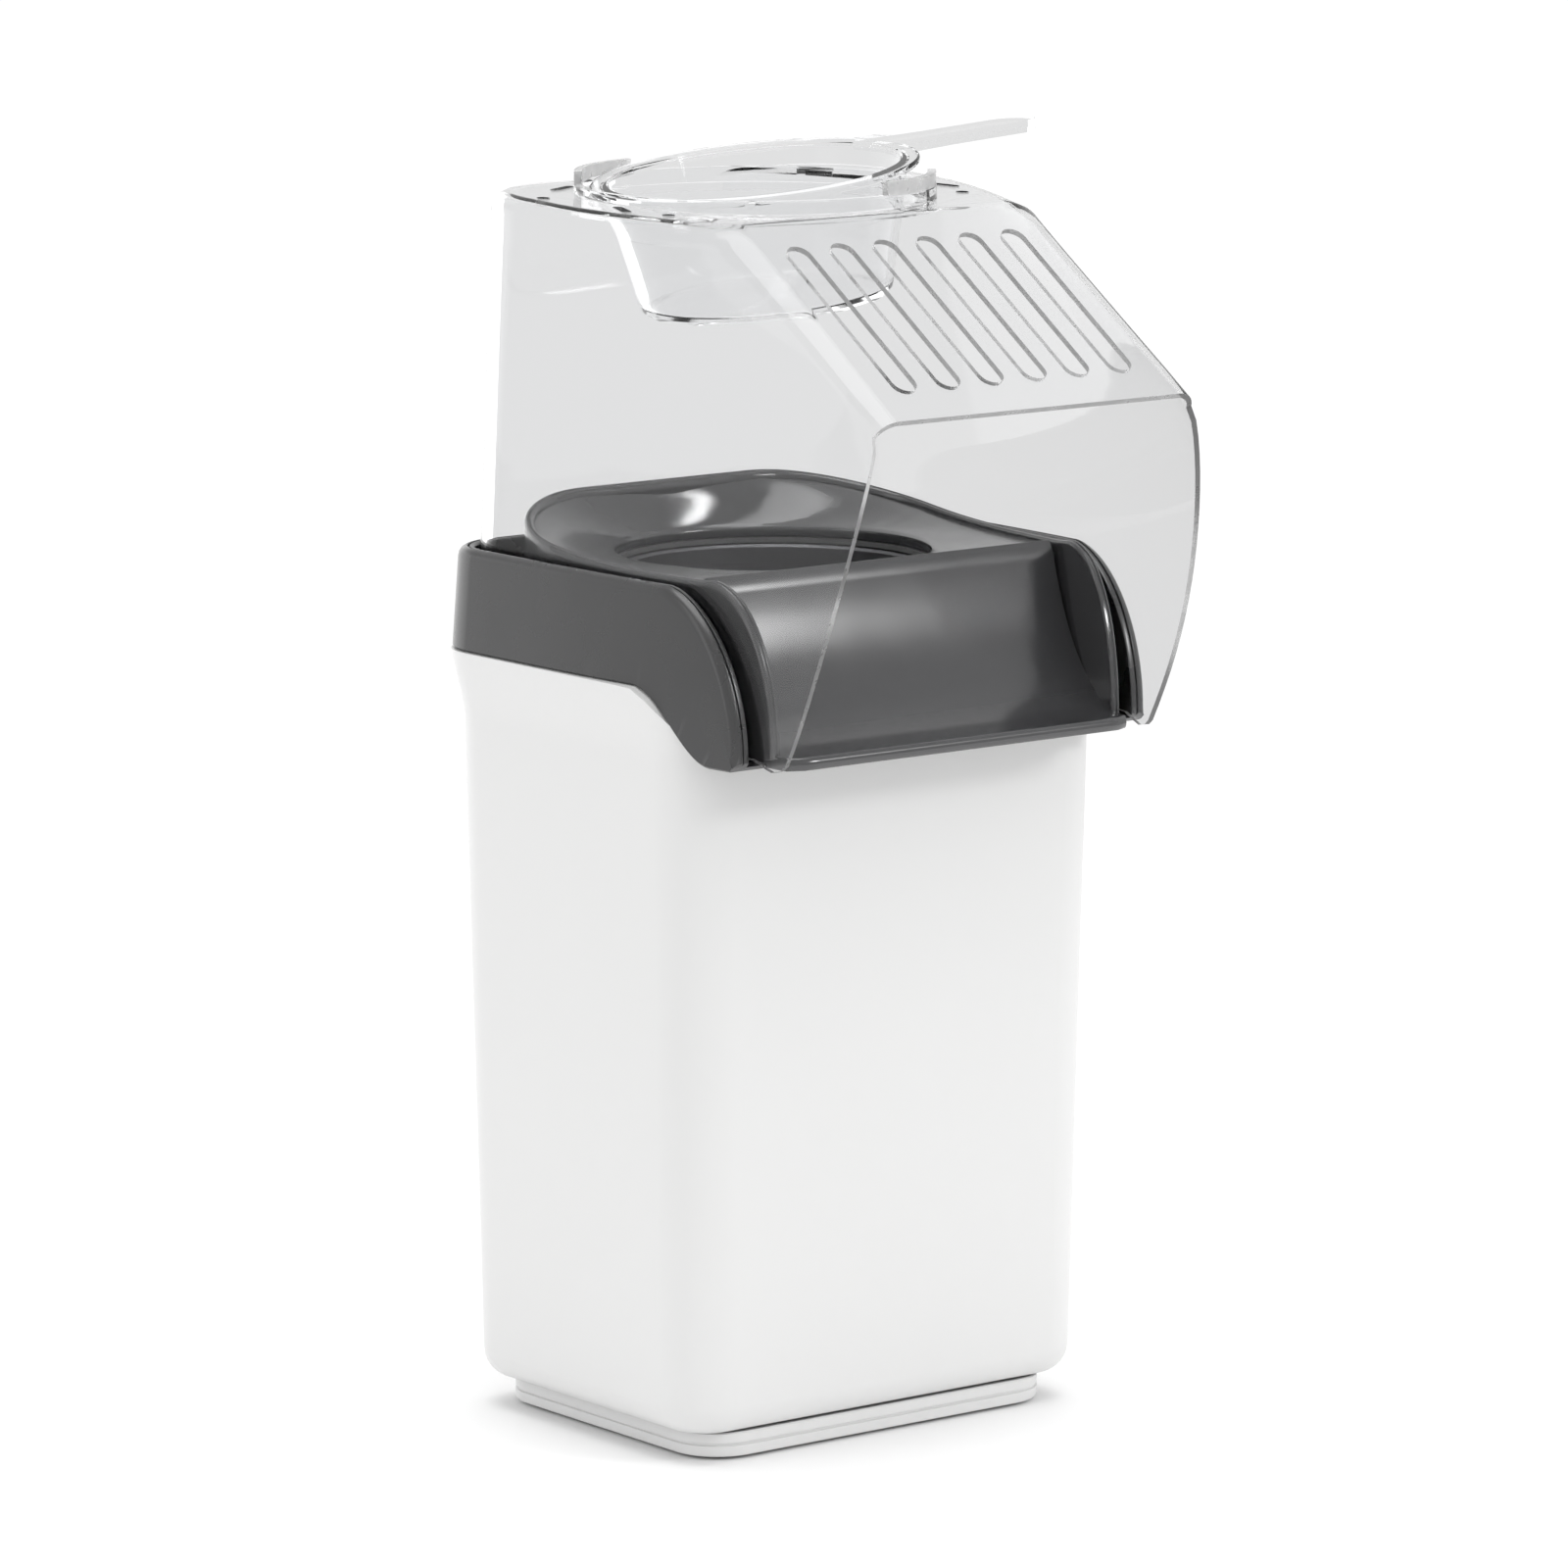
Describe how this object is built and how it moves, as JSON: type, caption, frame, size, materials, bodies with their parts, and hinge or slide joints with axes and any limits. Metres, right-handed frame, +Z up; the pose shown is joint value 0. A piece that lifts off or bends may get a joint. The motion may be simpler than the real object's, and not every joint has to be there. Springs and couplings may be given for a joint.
{
  "type": "popcorn maker",
  "caption": "Hot-air popcorn maker: tapered upright housing, clear lift-off hood with an open mouth over a ramp, and a measuring cup seated in the hood's top.",
  "frame": {"origin": "middle of the whole object's footprint, on the surface it stands on", "axes": "+Z up, -Y out of the hood's mouth, +X toward the side that the cup's handle points to"},
  "size_m": [0.1462, 0.1476, 0.2974],
  "materials": {
    "housing_white": "smooth moulded plastic with a soft gloss",
    "dark_grey": "moulded plastic with a satin gloss",
    "clear": "clear polycarbonate, polished",
    "aluminium": "drawn sheet, dark anodised",
    "steel": "plated sheet and wire",
    "mica": "pressed mica sheet",
    "black_plastic": "moulded, matt",
    "board": "phenolic circuit board",
    "rubber": "matt rubber",
    "silicone": "heat-proof silicone"
  },
  "bodies": {
    "base": {"housing_shell": "housing_white", "base_cover": "housing_white", "collar": "dark_grey", "chute_liner": "dark_grey", "popping_chamber": "aluminium", "chamber_gasket": "silicone", "heater_duct": "steel", "heating_coil": "steel", "mica_board_wide": "mica", "mica_board_deep": "mica", "fan_shroud": "black_plastic", "motor_can": "steel", "motor_end_cap": "black_plastic", "motor_bracket": "steel", "rectifier_board": "board", "diode_1": "black_plastic", "diode_2": "black_plastic", "diode_3": "black_plastic", "diode_4": "black_plastic", "thermostat": "aluminium", "thermal_fuse": "aluminium", "switch_body": "black_plastic", "cord_gland": "rubber", "foot_1": "rubber", "foot_2": "rubber", "foot_3": "rubber", "foot_4": "rubber", "base_screw_1": "steel", "base_screw_2": "steel", "base_screw_3": "steel", "base_screw_4": "steel"},
    "hood": {"hood": "clear"},
    "cup": {"measuring_cup": "clear"},
    "fan": {"fan_impeller": "black_plastic", "motor_shaft": "steel", "motor_rotor": "steel"},
    "rocker": {"switch_rocker": "black_plastic"}
  },
  "joints": [
    {"name": "hood_lift", "type": "slide", "parent": "base", "child": "hood", "axis": [0, 0, 1], "range_m": [0, 0.15]},
    {"name": "cup_lift", "type": "slide", "parent": "hood", "child": "cup", "axis": [0, 0, 1], "range_m": [0, 0.06]},
    {"name": "fan_spin", "type": "hinge", "parent": "base", "child": "fan", "pos_m": [-0.00857, 0.024, 0.05], "axis": [0, 0, 1], "continuous": true},
    {"name": "switch_rock", "type": "hinge", "parent": "base", "child": "rocker", "pos_m": [-0.02657, 0.0689, 0.024], "axis": [1, 0, 0], "range_deg": [0, 20]}
  ]
}
